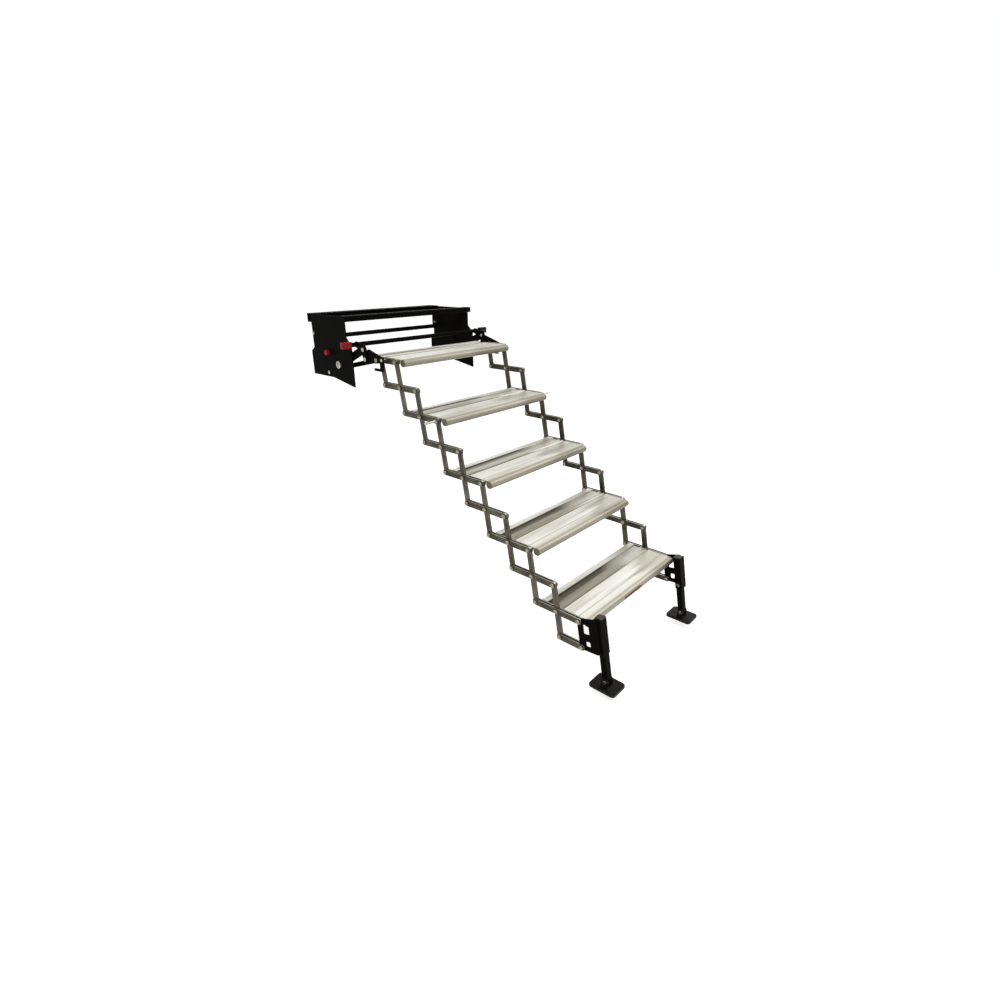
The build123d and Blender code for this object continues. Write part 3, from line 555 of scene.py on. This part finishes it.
# %% [markdown]
# ## Plugs in the nosings
# The round nosing is hollow, and its ends are closed by a pushed-in plug with a low dome and a rounded
# rim. Ten identical plugs are a profile turned about the nosing's centre line. The rim is 0.4 mm
# smaller than the nosing, so the metal shows around it.

# %% Plugs in the nosings
NOSING_AHEAD = 119.0
NOSING_DOWN = 4.5
TREAD_END = 300.0
PLUG = ((-9.0, 11.6), (0.05, 11.6), (0.05, 14.1), (0.7, 13.8), (1.1, 12.9), (1.35, 9.5), (1.5, 4.5))


def tread_body(number):
    """The first tread is on the stair's head; the others are on every second level of the lattice."""
    return "stair_head" if number == 1 else f"level_{2 * number - 2}"


for number, (pin_y, pin_z) in tread_pins.items():
    centre = (pin_y - NOSING_AHEAD * MM, pin_z - NOSING_DOWN * MM)
    right_plug = [(TREAD_END + out, radius) for out, radius in PLUG]
    left_plug = [(-x, radius) for x, radius in reversed(right_plug)]
    make_piece(f"nosing_plugs_{number}",
               [turned_about_x(plug, *centre) for plug in (right_plug, left_plug)],
               plug_plastic, tread_body(number))
print("nosing plugs:", 2 * TREADS)

# %% [markdown]
# ## The long pins of the second tread
# On the second tread the front pins go on past the links by some 50 mm at both ends, probably to take
# a handrail. A stub is a turned rod with a chamfered end, drawn from the same profile function as the
# plugs. It starts just inside the face of the pin's head.

# %% The long pins of the second tread
FRONT_PIN = 93.0
PIN_TREAD = 2
PIN_SIDES = 32
SUNK = 0.3
head_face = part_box("pivot_pins_2")[1][0] / MM
right_stub = [(head_face - SUNK, 4.6), (371.5, 4.6), (373.6, 4.1), (374.0, 3.4)]
first_y, first_z = tread_pins[PIN_TREAD]
stub_axis = (first_y - FRONT_PIN * MM, first_z)
left_stub = [(-x, radius) for x, radius in reversed(right_stub)]
make_piece("long_pins",
           [turned_about_x(stub, *stub_axis, PIN_SIDES) for stub in (right_stub, left_stub)],
           bright_rod, tread_body(PIN_TREAD))
print("long pins from", round(head_face, 1), "to", right_stub[-1][0], "mm")

# %% [markdown]
# ## The reflector strip
# A plain red strip is stuck on the last nosing. It stands only 0.3 mm proud, so it could be a colour,
# but as a piece it has its own thin edge. It is a cylinder patch: x runs along the strip and an angle
# runs over the nosing, with an outer radius and an inner one sunk in the metal.

# %% The reflector strip
def wrapped_strip(x_range, angle_range, inner, outer, centre_y, centre_z, steps=12):
    """Patch of a tube wall about an x axis. Rows run along x; a ring goes over the outer radius and
    back under the inner one: y = cy + r cos a, z = cz + r sin a."""
    angle = np.radians(np.linspace(*angle_range, steps))
    around = np.concatenate([angle, angle[::-1]])
    radius = np.concatenate([np.full(steps, outer), np.full(steps, inner)]) * MM
    x = np.array(x_range) * MM
    rings = np.stack(np.broadcast_arrays(x[:, None], (centre_y + radius * np.cos(around))[None],
                                         (centre_z + radius * np.sin(around))[None]), axis=-1)
    quad = np.arange(steps - 1)
    points = rings.reshape(-1, 3)
    columns = 2 * steps
    lid = np.stack([quad + 1, quad, columns - 1 - quad, columns - 2 - quad], axis=-1)
    return points, [grid_faces(2, columns), lid, lid[:, ::-1] + columns]


NOSING_RADIUS = 14.5
STRIP_ENDS = (-80.0, 40.0)
STRIP_ANGLES = (156.0, 196.0)
PROUD = 0.3
last_y, last_z = tread_pins[TREADS]
strip_finish = moulded("red reflector sheet", "#6A0D13", "#82151B", 0.3)
make_piece("reflector_strip",
           [wrapped_strip(STRIP_ENDS, STRIP_ANGLES, NOSING_RADIUS - PROUD, NOSING_RADIUS + PROUD,
                          last_y - NOSING_AHEAD * MM, last_z - NOSING_DOWN * MM)],
           strip_finish, tread_body(TREADS))
print("reflector strip", STRIP_ENDS[1] - STRIP_ENDS[0], "mm long")

# %% [markdown]
# ## Floor, world and lamps
# The photograph has no floor to see, only white. The floor here is pale, and it glows for camera,
# glossy and transmission rays alone, so that it looks white, the metal mirrors white, and the object
# still throws its shadow on it. The world does the same. Two large soft lamps, the key from the left
# and the fill from the right, light the object at a level at which colours come out as written.
# The legs slide out by 40 mm and the feet tilt, so the floor lies 42 mm below the feet at rest.
# Otherwise it would hide a foot that is drawn out.

# %% Floor
def seen_directly(tree):
    """An output of 1 for camera, glossy and transmission rays, and 0 for light that falls on things."""
    path = add_node(tree, "ShaderNodeLightPath")
    seen = path.outputs["Is Camera Ray"]
    for ray in ("Is Glossy Ray", "Is Transmission Ray"):
        either = add_node(tree, "ShaderNodeMath", {0: seen, 1: path.outputs[ray]}, operation="MAXIMUM")
        seen = either.outputs[0]
    return seen


def floor_plate(name, level, half):
    """A flat square: x and y run over a 2 by 2 grid, z stays at the level."""
    u, v = np.meshgrid([-half, half], [-half, half], indexing="ij")
    points = np.stack([u, v, np.full_like(u, level)], axis=-1).reshape(-1, 3)
    mesh = bpy.data.meshes.new(name)
    mesh.from_pydata(points.tolist(), [], [(0, 2, 3, 1)])
    piece = bpy.data.objects.new(name, mesh)
    bpy.context.scene.collection.objects.link(piece)
    return piece


FLOOR_HALF = 30.0
FLOOR_BELOW = 42.0
FLOOR_GLOW = 0.62
floor = floor_plate("floor", float(cad_box[0][2]) - FLOOR_BELOW * MM, FLOOR_HALF)
floor_white, tree, output, _ = new_material("white studio floor")
matte = add_node(tree, "ShaderNodeBsdfDiffuse", {"Color": linear("#F4F4F2")})
glow = add_node(tree, "ShaderNodeEmission", {"Color": (1, 1, 1, 1), "Strength": FLOOR_GLOW})
both = add_node(tree, "ShaderNodeAddShader", {0: matte.outputs[0], 1: glow.outputs[0]})
floor_mix = add_node(tree, "ShaderNodeMixShader", {
    0: seen_directly(tree), 1: matte.outputs[0], 2: both.outputs[0]})
tree.links.new(floor_mix.outputs[0], output.inputs[0])
floor.data.materials.append(floor_white)
floor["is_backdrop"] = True
print("floor", FLOOR_BELOW, "mm below the feet")

# %% World
ROOM_LIGHT = 0.5

world = bpy.data.worlds.new("white studio")
bpy.context.scene.world = world
world.use_nodes = True
tree = world.node_tree
tree.nodes.clear()
room = add_node(tree, "ShaderNodeBackground", {"Color": (1, 1, 1, 1), "Strength": ROOM_LIGHT})
white = add_node(tree, "ShaderNodeBackground", {"Color": (1, 1, 1, 1), "Strength": 1.0})
world_mix = add_node(tree, "ShaderNodeMixShader", {
    0: seen_directly(tree), 1: room.outputs[0], 2: white.outputs[0]})
add_node(tree, "ShaderNodeOutputWorld", {0: world_mix.outputs[0]})
print("room light", ROOM_LIGHT, "and white behind")

# %% Lamps
def softbox(name, place, target, size, watts):
    """A square area lamp at a place, turned to a target."""
    lamp = bpy.data.lights.new(name, "AREA")
    lamp.size = size
    lamp.energy = watts
    holder = bpy.data.objects.new(name, lamp)
    holder.location = place
    holder.rotation_euler = (Vector(target) - Vector(place)).to_track_quat("-Z", "Y").to_euler()
    bpy.context.scene.collection.objects.link(holder)


STAIR_MIDDLE = (0.0, -0.7, -0.6)
LAMPS = (("key lamp", (-2.4, -2.6, 2.6), 1.6, 90), ("fill lamp", (2.8, -1.8, 1.8), 2.0, 40))
for name, place, size, watts in LAMPS:
    softbox(name, place, STAIR_MIDDLE, size, watts)
print("lamps:", ", ".join(f"{name} {watts} W" for name, _, _, watts in LAMPS))

# %% [markdown]
# ## Finish
# Colours come out as written in the Standard view. The box of the model with the trim is measured
# once more at the end.

# %% Finish
bpy.context.scene.view_settings.view_transform = "Standard"
low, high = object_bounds()
